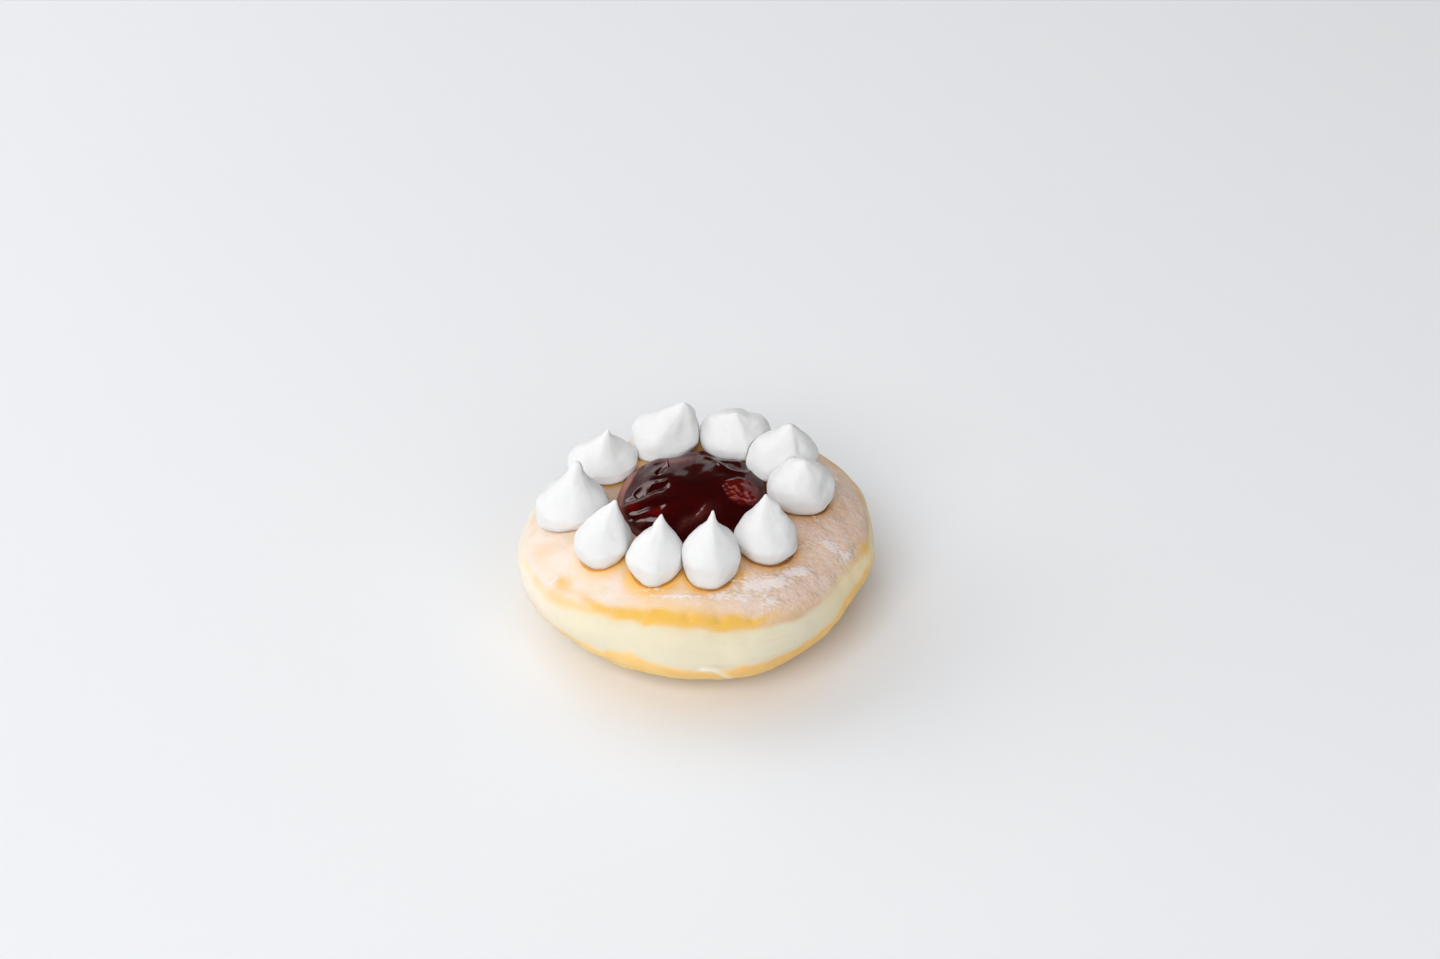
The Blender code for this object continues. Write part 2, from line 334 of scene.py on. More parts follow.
class Finish:
    """One material, with short ways to add the nodes that it is made of."""

    def __init__(self, name):
        self.material = bpy.data.materials.new(name)
        self.material.use_nodes = True
        self.tree = self.material.node_tree
        self.shader = self.tree.nodes["Principled BSDF"]

    def put(self, socket, value):
        """Links an output to a socket, or sets the socket's own value."""
        if isinstance(value, bpy.types.NodeSocket):
            self.tree.links.new(value, socket)
        elif isinstance(value, tuple) and len(value) == 3 and len(socket.default_value) == 4:
            socket.default_value = (*value, 1.0)
        else:
            socket.default_value = value

    def set(self, **values):
        """Puts values on the shader's sockets, named with an underscore for each space."""
        for name, value in values.items():
            self.put(self.shader.inputs[name.replace("_", " ")], value)

    def field(self, name):
        """The piece's own attribute of that name."""
        node = self.tree.nodes.new("ShaderNodeAttribute")
        node.attribute_name = name
        return node.outputs["Fac"]

    def grain(self, size, contrast=2.0, detail=3.0, stretch=(1, 1, 1)):
        """The uneven grain of a size in millimetres."""
        node = self.tree.nodes.new("ShaderNodeGroup")
        node.node_tree = GRAIN
        node.inputs["Size"].default_value = size * MM
        node.inputs["Contrast"].default_value = contrast
        node.inputs["Detail"].default_value = detail
        node.inputs["Stretch"].default_value = stretch
        return node.outputs["Grain"]

    def math(self, operation, first, second, third=0.0):
        """The result of an operation on two or three values."""
        node = self.tree.nodes.new("ShaderNodeMath")
        node.operation = operation
        for socket, value in zip(node.inputs, (first, second, third)):
            self.put(socket, value)
        return node.outputs[0]

    def times(self, first, second):
        """One value times another."""
        return self.math("MULTIPLY", first, second)

    def step(self, value, low, high):
        """0 below low and 1 above high, smooth between them."""
        node = self.tree.nodes.new("ShaderNodeMapRange")
        node.interpolation_type = "SMOOTHSTEP"
        self.put(node.inputs["Value"], value)
        self.put(node.inputs["From Min"], low)
        self.put(node.inputs["From Max"], high)
        return node.outputs["Result"]

    def mix(self, share, first, second):
        """The first colour where the share is 0 and the second where it is 1."""
        node = self.tree.nodes.new("ShaderNodeMix")
        node.data_type = "RGBA"
        self.put(node.inputs["Factor"], share)
        self.put(node.inputs["A"], first)
        self.put(node.inputs["B"], second)
        return node.outputs["Result"]

    def bump(self, height, distance):
        """A bump of a height in millimetres, fed to the shader's normal."""
        node = self.tree.nodes.new("ShaderNodeBump")
        node.inputs["Distance"].default_value = distance * MM
        self.put(node.inputs["Height"], height)
        self.put(self.shader.inputs["Normal"], node.outputs["Normal"])


# How strongly the layers of the dough's colour show.
PALE_PATCHES, BLOOM, STREAKS, SPECKS = 0.45, 0.6, 0.6, 0.45
GOLDEN_FILM, FLAKES_AND_HIGHLIGHT = 0.9, 0.8
# What grain adds to a value: factor, start.
GOLD_GRAIN = (-0.3, 1.15)
FLAKE_GRAIN = (0.8, -0.4)
DOUGH_ROUGHNESS = (0.2, 0.42)
CREAM_ROUGHNESS = (0.15, 0.42)
FLAKE_EDGE = (0.25, 0.75)
# A painted contact shadow, a dark line round a dollop's foot, fades between these distances from it,
# further out where browned and shaded.
CONTACT_SHADOW_FADE = (0.45, 0.95)
CONTACT_SHADOW_SHIFT = -0.45


def dough_finish():
    """Golden crust with a pale collar, paler with painted light on the left, under a thin sugar film that
    browns to the right, with painted shade there, and carries white flakes and a painted highlight at a
    dent.
    Round the cream the crust is amber with a painted glow, with jam stains and painted shade in the gaps,
    and a dark line of contact that is a painted contact shadow."""
    m = Finish("fried_dough")
    blotch = m.grain(6.0, contrast=2.2)
    patch = m.grain(3.2, contrast=3.0, detail=4.0)
    fine = m.grain(0.9, contrast=2.6, detail=5.0)
    streak = m.grain(1.5, contrast=3.2, detail=4.0, stretch=(1.0, 2.4, 1.0))
    # Darker and browner to the right: partly browning, partly painted shade away from the light.
    browned_and_shaded = m.field("browned_and_shaded")

    collar = m.mix(blotch, (0.79, 0.73, 0.555), (0.76, 0.69, 0.515))
    collar = m.mix(m.field("golden_collar"), collar, (0.92, 0.76, 0.47))
    # Paler peach on the left: painted light where the light falls on the collar.
    collar = m.mix(m.field("lit_peach_collar"), collar, (0.88, 0.79, 0.65))
    foot = m.mix(blotch, (0.96, 0.66, 0.26), (0.92, 0.57, 0.18))
    foot = m.mix(browned_and_shaded, foot, (0.98, 0.58, 0.15))
    crust = m.mix(blotch, (0.88, 0.65, 0.36), (0.85, 0.58, 0.27))
    crust = m.mix(browned_and_shaded, crust, (0.66, 0.44, 0.28))
    pale_film = m.mix(blotch, (0.85, 0.745, 0.69), (0.835, 0.68, 0.54))
    pale_film = m.mix(m.times(patch, PALE_PATCHES), pale_film, (0.86, 0.79, 0.78))
    mottled = m.mix(patch, (0.60, 0.365, 0.22), (0.80, 0.55, 0.39))
    bloom = m.grain(4.5, contrast=4.0, detail=2.0)
    mottled = m.mix(m.times(bloom, BLOOM), mottled, (0.74, 0.57, 0.50))
    mottled = m.mix(m.times(streak, STREAKS), mottled, (0.83, 0.65, 0.54))
    specks = m.grain(1.0, contrast=5.0, detail=3.0)
    mottled = m.mix(m.times(specks, SPECKS), mottled, (0.88, 0.72, 0.62))
    film_colour = m.mix(browned_and_shaded, pale_film, mottled)

    colour = m.mix(m.field("film"), crust, film_colour)
    colour = m.mix(m.times(m.field("golden_film"), GOLDEN_FILM), colour, (0.84, 0.50, 0.15))
    gold = m.times(m.field("gold"), m.math("MULTIPLY_ADD", patch, *GOLD_GRAIN))
    colour = m.mix(m.field("collar"), colour, collar)
    colour = m.mix(gold, colour, (0.82, 0.50, 0.10))
    colour = m.mix(m.field("foot"), colour, foot)
    # Amber round the cream: partly the crust's colour, partly a painted glow that lightens the shade there.
    amber_and_glow = m.mix(browned_and_shaded, (0.95, 0.51, 0.09), (0.62, 0.30, 0.09))
    colour = m.mix(m.field("amber_and_glow"), colour, amber_and_glow)
    # Jam stains, darkened further with painted shade in the deep gaps between the dollops.
    colour = m.mix(m.field("stained_and_shaded"), colour, (0.22, 0.085, 0.035))
    # A painted contact shadow: a dark line round each dollop's foot.
    reach = m.math("MULTIPLY_ADD", browned_and_shaded, CONTACT_SHADOW_SHIFT, m.field("cream_near"))
    contact_shadow = m.math("SUBTRACT", 1.0, m.step(reach, *CONTACT_SHADOW_FADE))
    contact_shadow_colour = m.mix(browned_and_shaded, (0.62, 0.25, 0.03), (0.30, 0.11, 0.025))
    colour = m.mix(m.times(contact_shadow, m.field("contact_shadow_strength")), colour, contact_shadow_colour)
    # White sugar flakes, with a painted highlight at the dent.
    flakes_and_highlight = m.math("ADD", m.field("sugar_and_highlight"), m.math("MULTIPLY_ADD", streak, *FLAKE_GRAIN))
    flakes_and_highlight = m.step(flakes_and_highlight, *FLAKE_EDGE)
    colour = m.mix(m.times(flakes_and_highlight, FLAKES_AND_HIGHLIGHT), colour, (0.88, 0.79, 0.77))
    colour = m.mix(m.field("flap"), colour, (0.95, 0.90, 0.80))
    m.set(Base_Color=colour, Roughness=m.math("MULTIPLY_ADD", fine, *DOUGH_ROUGHNESS))
    m.set(Subsurface_Weight=0.3, Subsurface_Radius=(0.004, 0.0025, 0.0012), Subsurface_Scale=1.0)
    relief = m.times(m.math("ADD", fine, patch), m.field("film"))
    m.bump(m.math("ADD", relief, flakes_and_highlight), 0.10)
    return m.material


def jam_finish():
    """Dark red jam, redder where it is thin and with a painted glow in places, a paler edge that is partly a
    painted reflection, a seedy piece of fruit with painted highlights on its lumps, and a wet gloss.
    """
    m = Finish("red_jam")
    cloud = m.grain(7.0, contrast=2.2)
    deep = m.mix(cloud, (0.020, 0.0003, 0.0003), (0.036, 0.0006, 0.0006))
    # Redder places: partly the jam's colour, partly a painted glow of light through it.
    deep = m.mix(m.field("red_and_glow"), deep, (0.12, 0.002, 0.001))
    fibre = m.grain(0.8, contrast=3.0, detail=3.0, stretch=(1.0, 2.2, 1.0))
    pulp = m.mix(fibre, (0.045, 0.008, 0.006), (0.11, 0.028, 0.022))
    deep = m.mix(m.field("pulp"), deep, pulp)
    # Paler edge, mostly on the left: partly thin jam, partly a painted reflection of the cream.
    colour = m.mix(m.field("thin_and_reflection"), deep, (0.30, 0.105, 0.078))
    # Pinkish lumps on the fruit: partly seeds, partly painted highlights on their high spots.
    fruit = m.mix(m.field("seeds_and_highlights"), (0.095, 0.0022, 0.001), (0.24, 0.045, 0.034))
    m.set(Base_Color=m.mix(m.field("fruit"), colour, fruit), Roughness=0.10, IOR=1.38)
    m.set(Specular_Tint=(1.0, 0.70, 0.68))
    m.set(Subsurface_Weight=0.3, Subsurface_Radius=(0.003, 0.0004, 0.0003), Subsurface_Scale=1.0)
    m.bump(m.times(m.grain(0.9, contrast=2.5, detail=2.0), m.field("seeds_and_highlights")), 0.2)
    return m.material


def cream_finish():
    """White whipped cream: a soft satin with faint air-bubble grain."""
    m = Finish("whipped_cream")
    pores = m.grain(0.5, contrast=2.0, detail=4.0)
    soft = m.grain(4.0, contrast=2.0)
    m.set(Base_Color=m.mix(soft, (0.80, 0.80, 0.797), (0.775, 0.777, 0.78)))
    m.set(Roughness=m.math("MULTIPLY_ADD", pores, *CREAM_ROUGHNESS))
    m.set(Subsurface_Weight=0.5, Subsurface_Radius=(0.0022, 0.002, 0.0018), Subsurface_Scale=1.0)
    m.bump(pores, 0.03)
    return m.material


def floor_finish():
    """A pale matt floor with a faint unevenness."""
    m = Finish("pale_floor")
    cloud = m.grain(300.0, contrast=1.5)
    m.set(Base_Color=m.mix(cloud, (0.795, 0.81, 0.832), (0.815, 0.83, 0.852)), Roughness=0.6)
    return m.material


# Cream

# Bulges and dents of single dollops, by number. Rows: direction in degrees, share of the height,
# size (a dent is negative), half turn in degrees, half height as a share.
BULGES = {
    1: (
        (0, 0.94, 0.6, 400, 0.08), (-30, 0.45, 0.9, 40, 0.25), (120, 0.55, -0.8, 40, 0.2),
        (200, 0.15, 0.7, 40, 0.12),
    ),
    2: ((0, 0.35, 0.6, 40, 0.2), (20, 0.62, 0.8, 40, 0.15), (-70, 0.08, 2.2, 60, 0.14)),
    3: (
        (0, 0.80, 0.9, 50, 0.12), (-60, 0.62, -0.7, 16, 0.22), (180, 0.50, 1.2, 50, 0.2),
        (-115, 0.08, 2.2, 60, 0.14),
    ),
    4: (
        (160, 0.74, 2.0, 40, 0.16), (20, 0.74, 1.6, 34, 0.15), (-40, 0.66, -0.9, 18, 0.16),
        (-90, 0.08, 1.2, 60, 0.14),
    ),
    5: (
        (-20, 0.55, 0.7, 30, 0.2), (-55, 0.62, -0.7, 14, 0.2), (90, 0.85, 0.6, 60, 0.1),
        (-140, 0.08, 2.0, 50, 0.16),
    ),
    6: ((-30, 0.52, -0.9, 26, 0.14), (-75, 0.70, 0.5, 18, 0.2), (20, 0.38, 0.6, 30, 0.15)),
    7: (
        (0, 0.80, 1.1, 36, 0.08), (-25, 0.60, 0.8, 26, 0.14), (-5, 0.235, -1.1, 15, 0.045),
        (-10, 0.13, 0.4, 25, 0.07),
    ),
    8: ((-20, 0.40, 0.4, 30, 0.2),),
    9: ((-70, 0.62, 0.4, 14, 0.2), (180, 0.72, -0.5, 50, 0.08)),
    10: ((15, 0.60, -0.3, 30, 0.22), (180, 0.45, 0.9, 50, 0.2)),
}
# Crisp ridges up the dollops, by number. Rows: direction low down and at the tip, size, half turn.
RIDGES = {
    1: ((-60, -40, 0.45, 26),),
    2: ((-50, -70, 0.45, 26),),
    3: ((-135, -95, 0.55, 26), (-30, -50, 0.4, 18)),
    4: ((-60, -80, 0.4, 22), (10, 0, 0.4, 16)),
    5: ((-75, -60, 0.45, 22), (-150, -120, 0.3, 20)),
    6: ((-100, -115, 0.5, 24),),
    7: ((-105, -120, 0.45, 22), (-35, -60, 0.3, 16)),
    8: ((-85, -80, 0.35, 20),),
    9: ((-95, -85, 0.4, 20), (-150, -140, 0.25, 18)),
    10: ((-95, -110, 0.35, 20), (-150, -130, 0.3, 18)),
}
# Faint flats round each dollop: how many, their depth as a share of the radius, their twist in
# radians from foot to tip, and between which shares of the height they set in.
FLATS = 5
FLATS_DEPTH = 0.022
FLATS_TWIST = 1.1
FLATS_START = (0.1, 0.5)
# Ridges: the rounding of their crest in degrees, and where they set in and fade below the tip.
RIDGE_ROUNDING = 2.0
RIDGE_START = (0.15, 0.4)
RIDGE_FADE = (0.0, 0.25)
RING_SPACING = 0.92                       # a power below 1 crowds the rings towards the tip
TIP_FADE = 2.5                            # the lumps fade over this length below the tip
FINE_SEEDS = 50                           # from a dollop's coarse lumps to its fine ones


def turn_between(angle, other):
    """The difference of two directions in radians, as degrees from -180 to 180."""
    return np.degrees(np.angle(np.exp(1j * (angle - other))))


class Dollop:
    """One piped dollop, worked out from its row of sizes."""

    def __init__(self, degrees, reach, widest, height, shoulder, taper, lean_in, lean_side):
        out = math.radians(degrees)
        self.inward = np.array((-math.cos(out), -math.sin(out)))
        self.side = np.array((self.inward[1], -self.inward[0]))
        self.x = RING_X + reach * math.cos(out)
        self.y = RING_Y + reach * math.sin(out)
        self.widest = widest
        self.height = height
        self.shoulder = shoulder
        self.taper = taper
        self.lean = lean_in * self.inward + lean_side * self.side
        self.lean_in = lean_in
        self.foot_z = dough_top(self.x, self.y)
        self.neighbours = []

    def radius(self, height):
        """A superellipse foot up to the widest ring, then a taper that ends in a small blunt tip."""
        up = np.minimum(1.0, height / self.height)
        below = FOOT_SHARE * np.maximum(0.0, 1 - up / WIDEST_SHARE)
        above = np.maximum(0.0, (up - WIDEST_SHARE) / (1 - WIDEST_SHARE))
        foot = self.widest * (1 - below**FOOT_ROUNDNESS) ** (1 / FOOT_ROUNDNESS)
        narrowing = (self.widest - TIP_RADIUS) * (1 - above**self.shoulder) ** self.taper
        tip = TIP_RADIUS * np.sqrt(1 - above**TIP_BLUNTNESS)
        return np.where(up < WIDEST_SHARE, foot, narrowing + tip)

    def press(self, x, y):
        """Keeps points on this dollop's own side of the planes shared with its neighbours."""
        for other in self.neighbours:
            dx, dy = other.x - self.x, other.y - self.y
            apart = math.hypot(dx, dy)
            nx, ny = dx / apart, dy / apart
            limit = (apart + (self.widest**2 - other.widest**2) / apart) / 2 - PRESS_CLEAR
            over = ((x - self.x) * nx + (y - self.y) * ny - limit) / PRESS_SOFTNESS
            back = PRESS_SOFTNESS * np.logaddexp(0, over)
            x, y = x - back * nx, y - back * ny
        return x, y

    def shaped(self, height, direction, number):
        """The profile's radius with faint twisted flats, and the dollop's own bulges and ridges."""
        up = (height / self.height)[:, None]
        flats = ease(up, *FLATS_START) * np.cos(FLATS * direction + number + FLATS_TWIST * up)
        radius = self.radius(height)[:, None] * (1 + FLATS_DEPTH * flats)
        for degrees, share, size, turn, rise in BULGES[number]:
            away = turn_between(direction, math.radians(degrees))
            radius = radius + size * np.exp(-((away / turn) ** 2) - ((up - share) / rise) ** 2)
        for low, high, size, turn in RIDGES[number]:
            away = turn_between(direction, np.radians(low + (high - low) * up))
            sharp = np.exp(-np.sqrt(away**2 + RIDGE_ROUNDING**2) / turn)
            radius = radius + size * sharp * ease(up, *RIDGE_START) * ease(1 - up, *RIDGE_FADE)
        return np.maximum(radius, 0.0)

    def rings(self, number):
        """Rings up the leaning axis: a foot that follows the dough, then the profile, with soft lumps."""
        foot_rings, body_rings, around = 6, 110, 104
        climb = np.linspace(0, 1, body_rings) ** RING_SPACING
        height = self.height * np.concatenate([np.zeros(foot_rings), climb])
        spread = np.concatenate([np.linspace(0, 1, foot_rings + 1)[:-1], np.ones(body_rings)])
        direction = np.linspace(0, 2 * math.pi, around, endpoint=False)
        radius = self.shaped(height, direction, number) * spread[:, None]
        radius[-1] = 0.0
        lean = (height / self.height)[:, None] ** LEAN_POWER
        x = self.x + self.lean[0] * lean + radius * np.cos(direction)
        y = self.y + self.lean[1] * lean + radius * np.sin(direction)
        x, y = self.press(x, y)
        settle = np.maximum(0.0, 1 - height / SETTLE)[:, None]
        z = self.foot_z + height[:, None] + settle * (dough_top(x, y) - self.foot_z) - CREAM_SINK
        rings = np.stack([x, y, z], axis=-1)
        grown = (spread[:, None] ** 4) * ease(self.height - height, 0.0, TIP_FADE)[:, None]
        lumps = uneven(rings, (0.13, 7.0, number), (0.035, 2.8, number + FINE_SEEDS))
        return rings + (lumps * grown)[..., None] * normals(rings)


def cream_pieces(material):
    """Makes the dollops, each pressed flat where it meets its neighbours, and returns them."""
    dollops = [Dollop(*row) for row in DOLLOPS]
    for index, dollop in enumerate(dollops):
        dollop.neighbours = [dollops[index - 1], dollops[(index + 1) % len(dollops)]]
    for number, dollop in enumerate(dollops, start=1):
        piece = skin(f"piped_cream_{number:02d}", dollop.rings(number), material)
        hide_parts(f"cream_dollop_{number:02d}")
        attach(piece, "root")
    return dollops


# Jam

# Folds in the jam: (height, width, points from the ring's centre). A negative height is a groove.
JAM_FOLDS = (
    (0.5, 1.8, ((-8.6, 13.6), (-3.0, 16.6), (3.0, 17.6))),
    (-0.2, 1.3, ((-15.4, -2.4), (-14.6, 1.6), (-12.9, 5.2), (-10.2, 8.6), (-7.4, 11.9))),
    (-0.4, 1.0, ((-14.6, -3.4), (-11.8, -2.6), (-9.0, -1.4), (-6.5, -1.0))),
    (0.4, 1.4, ((-15.5, -5.2), (-11.0, -4.6), (-7.0, -4.2))),
    (-0.5, 1.2, ((-15.5, -7.6), (-11.0, -7.2), (-7.0, -7.6))),
    (0.6, 1.5, ((-0.8, -16.5), (2.6, -12.6), (6.4, -8.6))),
    (0.5, 0.8, ((3.4, 18.6), (6.1, 16.1), (7.4, 13.8), (8.6, 12.0), (11.3, 12.5), (13.4, 12.6))),
    (0.6, 0.9, ((4.2, 13.4), (6.5, 12.2), (8.2, 9.7), (9.6, 7.2), (12.6, 6.0), (15.0, 7.8), (17.0, 10.4))),
    (0.7, 1.5, ((4.0, 18.0), (9.0, 17.0), (13.6, 14.0), (17.5, 9.0))),
)
# Smooth facets that catch the light from the back left. Rows: half width at the start and at the
# end, points.
JAM_FACETS = (
    (1.5, 0.8, ((-12.6, -1.4), (-11.8, 0.4), (-10.2, 1.4), (-8.2, 1.6), (-6.2, 1.2))),
    (1.4, 0.5, ((-7.0, 6.2), (-6.2, 9.0), (-5.8, 11.6))),
    (0.7, 1.5, ((-14.2, -10.8), (-11.4, -12.0), (-8.6, -13.0))),
)
FACET_SLOPE = (0.376, 0.041)
FACET_EDGE = (0.8, 1.25)                  # shares of the half width between which a facet fades
WANDER = 0.3                              # how far folds, facets and places stray from their rows
# Redder and browner places in the jam, partly its own colour and partly a painted glow of light through it:
# x and y from the ring's centre, half length, half width, turn in degrees, strength.
RED_AND_GLOW_PLACES = (
    (-2.5, 12.4, 4.8, 2.4, 0, 1.0), (-14.8, -6.0, 1.6, 1.2, 0, 1.0), (-8.3, -9.4, 2.6, 1.2, 0, 0.8),
    (2.9, -10.8, 1.8, 1.0, 0, 0.7),
)
PULP_PLACES = (
    (-12.1, -12.3, 1.5, 1.3, 0, 1.0), (2.2, -12.6, 5.2, 1.6, 40, 0.8), (-9.5, -4.4, 3.0, 1.0, 5, 0.6),
    (13.4, 9.0, 2.6, 1.6, -20, 0.6), (5.0, 15.6, 3.0, 1.2, -20, 0.6),
)
# A piece of fruit: middle x and y from the ring's centre, half sizes. Its lower side is seedy, with painted
# highlights on the high spots of its lumps, across a slanting line.
FRUIT = (13.8, -1.4, 5.0, 5.4)
FRUIT_EDGE = (0.75, 1.05)                 # shares of the half sizes between which it fades
FRUIT_RISE = 0.3
SEEDY_SLANT = 0.4
SEEDY_EDGE = (-2.6, -0.4)
SEEDY_RISE = 0.22
# The jam is thin at its edge, mostly on the left, and paler there, partly from the thin jam and partly a
# painted reflection of the cream: direction and half turn of that side in degrees, where the thin edge
# starts as a share of the radius, how much wider it is there, and its fade.
THIN_SIDE = (158, 34)
THIN_START = 0.92
THIN_WIDER = 0.10
THIN_FADE = 0.05
THIN_LEAST = 0.3


def jam_reach(direction, dollops):
    """The jam's radius: a soft minimum of its own outline and of each dollop's near side."""
    total = np.exp(-round_values(JAM_OUTLINE, np.degrees(direction)) / JAM_SOFTNESS)
    for dollop in dollops:
        dx = dollop.x + LEAN_AT_JAM * dollop.lean_in * dollop.inward[0] - RING_X
        dy = dollop.y + LEAN_AT_JAM * dollop.lean_in * dollop.inward[1] - RING_Y
        along = dx * np.cos(direction) + dy * np.sin(direction)
        across = dy * np.cos(direction) - dx * np.sin(direction)
        clear = dollop.widest + JAM_CLEAR
        near = (along > 0) & (np.abs(across) < clear)
        reach = along - np.sqrt(np.maximum(0.0, clear**2 - across**2))
        total += np.where(near, np.exp(-reach / JAM_SOFTNESS), 0.0)
    return -JAM_SOFTNESS * np.log(total)


def jam_piece(dollops, material):
    """An underside that follows the dish, a rounded edge, a low dome, folds and a piece of fruit."""
    around, under, over = 320, 12, 130
    direction = np.linspace(0, 2 * math.pi, around, endpoint=False)
    back_in = np.cos(np.linspace(0, math.pi / 2, over))[1:]
    share = np.concatenate([np.linspace(0, 1, under), back_in])[:, None]
    upper = np.concatenate([np.zeros(under), np.ones(over - 1)])[:, None]
    radius = jam_reach(direction, dollops) * share
    x = RING_X + radius * np.cos(direction)
    y = RING_Y + radius * np.sin(direction)
    rise = JAM_EDGE * np.sqrt(np.maximum(0.0, 1 - share**JAM_EDGE_ROUNDNESS)) + JAM_DOME * (1 - share**2)
    flat = np.stack([x, y, np.zeros_like(x)], axis=-1)
    fx = x + uneven(flat, (WANDER, 6.0, 31)) - RING_X
    fy = y + uneven(flat, (WANDER, 6.0, 32)) - RING_Y
    warped = np.stack([fx, fy], axis=-1)
    folds = sum(height * near_line(warped, path, width) for height, width, path in JAM_FOLDS)
    folds = folds + uneven(flat, (0.07, 9.0, 33), (0.006, 3.0, 34))
    inside = np.sqrt(np.maximum(0.0, 1 - share**4))
    z = dough_top(x, y) + upper * (rise + inside * folds)
    for start, end, path in JAM_FACETS:
        distance, along = along_path(warped, path)
        middle_x, middle_y = np.mean(path, axis=0)
        away = np.where(upper > 0, np.hypot(fx - middle_x, fy - middle_y), np.inf)
        anchor = z.flat[np.argmin(away)]
        leaning = anchor + FACET_SLOPE[0] * (fx - middle_x) + FACET_SLOPE[1] * (fy - middle_y)
        covered = upper * (1 - ease(distance / (start + (end - start) * along), *FACET_EDGE))
        z = z + covered * (leaning - z)
    pulp = np.clip(soft_patches(PULP_PLACES, fx, fy), 0, 1)
    fruit_x, fruit_y, half_x, half_y = FRUIT
    fruit = 1 - ease(np.hypot((fx - fruit_x) / half_x, (fy - fruit_y) / half_y), *FRUIT_EDGE)
    low_side = 1 - ease(fy + SEEDY_SLANT * (fx - fruit_x), *SEEDY_EDGE)
    lumps = ripple(flat, 1.5, 36)
    relief = fruit * (FRUIT_RISE + uneven(flat, (0.10, 4.0, 35)) + SEEDY_RISE * low_side * lumps)
    relief = relief + pulp * uneven(flat, (0.05, 1.8, 37))
    z = z + upper * inside * relief
    rings = np.stack([x, y, z], axis=-1)
    side, half_turn = THIN_SIDE
    left = np.exp(-(((np.degrees(np.arctan2(fy, fx)) % 360 - side) / half_turn) ** 2))
    thin_from = THIN_START - THIN_WIDER * left
    thin_and_reflection = ease(share, thin_from, thin_from + THIN_FADE) * (THIN_LEAST + (1 - THIN_LEAST) * left)
    fields = {
        "fruit": fruit, "seeds_and_highlights": fruit * low_side * ease(lumps, 0.0, 1.0), "thin_and_reflection": thin_and_reflection,
        "red_and_glow": np.clip(soft_patches(RED_AND_GLOW_PLACES, fx, fy), 0, 1), "pulp": pulp,
    }
    piece = skin("jam_mound", rings, material, fields)
    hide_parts("jam")
    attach(piece, "root")


# Dough

# White patches where the sugar lies thicker: x, y, half length, half width, turn in degrees, strength.
SUGAR_PATCHES = (
    (34.2, -11.3, 2.8, 1.6, -10, 1.0), (38.6, -12.0, 2.0, 0.9, 60, 0.7), (25.5, -23.1, 4.2, 1.1, 28, 1.0),
    (20.5, -27.8, 3.8, 1.3, 20, 0.8), (14.5, -29.6, 4.6, 1.6, 12, 0.8), (18.6, -33.2, 2.6, 1.3, 25, 0.8),
    (6.2, -33.2, 3.0, 1.0, 8, 0.8), (11.5, -33.4, 2.4, 1.0, 10, 0.6), (31.5, -4.0, 2.4, 0.8, -50, 0.5),
    (28.0, -13.5, 2.2, 0.8, 35, 0.5), (-27.0, -26.8, 2.2, 0.9, -35, 0.4), (-10.0, -31.0, 3.4, 1.2, -5, 0.35),
    (13.0, -29.5, 9.0, 3.6, 15, 0.24), (36.5, -11.5, 4.6, 2.8, -30, 0.28), (25.0, -24.0, 7.0, 2.6, 28, 0.24),
    (24.0, 30.0, 4.0, 1.4, -40, 0.8), (-20.0, 33.0, 4.4, 1.5, 30, 0.7), (36.0, 14.0, 3.0, 1.2, 70, 0.7),
)
# Golden places in the pale film, in the same form.
GOLDEN_PATCHES = (
    (-16.2, -27.6, 2.0, 3.0, 20, 0.8), (-9.5, -30.6, 5.2, 1.7, 2, 1.0), (-34.0, -22.6, 2.2, 1.6, -30, 0.9),
    (-38.0, -11.6, 3.6, 3.0, 0, 0.45), (-26.2, -30.4, 2.6, 1.2, -35, 0.4),
    (-22.0, -33.0, 3.2, 1.0, -30, 0.4), (1.0, -31.0, 2.6, 1.2, 0, 0.8), (-12.6, -22.5, 2.0, 2.4, 0, 0.9),
    (11.6, -27.6, 1.6, 2.6, -30, 0.9), (19.6, -21.4, 2.4, 1.6, -50, 0.8),
)
RIM_HALO = 0.25                           # the share of the golden rim that is a wider, softer bell
# Golden spots on the collar's upper edge. Rows: place, size, strength.
GOLD_SPOTS = (((-33.6, -25.0, 25.2), 2.4, 0.5), ((43.8, -5.4, 21.8), 2.0, 0.6))
# A dent on the left and small pits. Rows: place, size, depth.
DENTS = (
    ((-36.6, -22.2, 24.2), 2.0, 0.7), ((-2.0, -38.0, 26.9), 1.1, 0.5), ((6.2, -38.7, 26.6), 1.1, 0.5),
    ((14.1, -37.9, 25.9), 1.1, 0.5), ((15.4, -42.7, 17.3), 0.7, 0.3),
)
# Lines: a painted highlight at the dent, a crease in the film, a flap of skin low in front and faint
# grooves.
DENT_SHINE = ((-37.6, -21.0, 23.4), (-36.8, -21.4, 24.6), (-35.6, -21.0, 25.6))
CREASE = ((-19.5, -30.9, 28.6), (-12.5, -32.2, 29.0), (-5.7, -33.0, 29.3), (1.2, -33.6, 29.3))
FLAP = ((1.8, -44.6, 15.2), (4.4, -44.4, 14.3), (6.6, -43.6, 12.6), (8.2, -42.2, 10.4), (9.2, -40.6, 8.4))
FAINT_LINES = (
    ((7.7, -42.7, 22.8), (10.4, -42.6, 22.7), (13.4, -42.3, 21.5)),
    ((-4.0, -43.6, 21.4), (3.0, -43.7, 20.8), (9.0, -43.2, 20.2)),
    ((17.0, -40.8, 21.6), (21.0, -39.0, 21.2), (25.0, -36.8, 21.3)),
)
